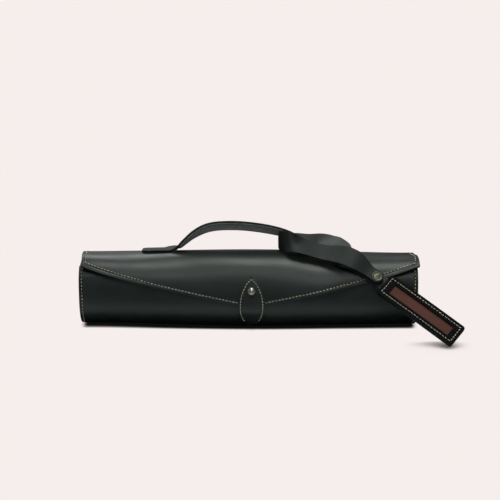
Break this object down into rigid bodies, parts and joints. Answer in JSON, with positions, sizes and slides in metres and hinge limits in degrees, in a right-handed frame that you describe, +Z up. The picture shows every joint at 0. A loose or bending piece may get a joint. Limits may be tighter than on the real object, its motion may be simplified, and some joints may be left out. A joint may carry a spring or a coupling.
{
  "type": "hat roll case",
  "caption": "Roll-shaped black leather hat case with end panels, a pointed flap closed by a tab on a ball stud, a carrying handle and a luggage tag on a snapped strap.",
  "frame": {"origin": "centre of the underside, on the surface the case rests on", "axes": "+X along the case towards the tag side, -Y towards the pointed front of the flap, +Z up"},
  "size_m": [0.3712, 0.1266, 0.1036],
  "materials": {
    "black_leather": "satin",
    "handle_leather": "matt",
    "tan_thread": "matt",
    "black_thread": "matt",
    "aged_nickel": "satin",
    "brown_card": "matt"
  },
  "bodies": {
    "case": {"body_panel": "black_leather", "left_end_panel": "black_leather", "right_end_panel": "black_leather", "left_end_thread_front": "tan_thread", "left_end_thread_back": "tan_thread", "right_end_thread_front": "tan_thread", "right_end_thread_back": "tan_thread", "tab_base": "black_leather", "tab_base_thread": "tan_thread"},
    "flap": {"flap_panel": "black_leather", "flap_thread_left": "tan_thread", "flap_thread_right": "tan_thread", "stud_head": "aged_nickel", "stud_screw": "aged_nickel", "handle_anchor_left": "handle_leather", "handle_anchor_right": "handle_leather", "anchor_left_thread": "black_thread", "anchor_right_thread": "black_thread", "strap_loop": "black_leather"},
    "tab": {"tab_tongue": "black_leather", "tab_thread": "tan_thread"},
    "handle": {"handle_grip": "handle_leather", "handle_thread_near": "black_thread", "handle_thread_far": "black_thread"},
    "tag_strap": {"strap_rear_ply": "black_leather", "snap_stud": "aged_nickel", "snap_post": "aged_nickel"},
    "strap_end": {"strap_front_ply": "black_leather", "snap_cap": "aged_nickel", "snap_socket": "aged_nickel"},
    "tag": {"tag_back": "black_leather", "tag_frame": "black_leather", "tag_insert": "brown_card", "tag_thread": "tan_thread"}
  },
  "joints": [
    {"name": "flap_hinge", "type": "hinge", "parent": "case", "child": "flap", "pos_m": [0, 0.03028, 0.062], "axis": [-1, 0, 0], "range_deg": [0, 110]},
    {"name": "tab_fold", "type": "hinge", "parent": "case", "child": "tab", "pos_m": [0.003, -0.03805, 0.01912], "axis": [1, 0, 0], "range_deg": [0, 100], "deforming": ["tab_tongue", "tab_thread"]},
    {"name": "handle_lean", "type": "hinge", "parent": "flap", "child": "handle", "pos_m": [0, 0, 0.076], "axis": [1, 0, 0], "range_deg": [-25, 60], "deforming": ["strap_loop"]},
    {"name": "strap_swing", "type": "hinge", "parent": "flap", "child": "tag_strap", "pos_m": [0.10006, -0.03747, 0.07616], "axis": [-0.6247, -0.5294, -0.574], "range_deg": [0, 60]},
    {"name": "snap_open", "type": "hinge", "parent": "tag_strap", "child": "strap_end", "pos_m": [0.10006, -0.03747, 0.07616], "axis": [-0.6247, -0.5294, -0.574], "range_deg": [0, 70]},
    {"name": "tag_swing", "type": "hinge", "parent": "tag_strap", "child": "tag", "pos_m": [0.13088, -0.04595, 0.05204], "axis": [-0.6338, -0.5358, -0.5578], "range_deg": [0, 45]}
  ]
}
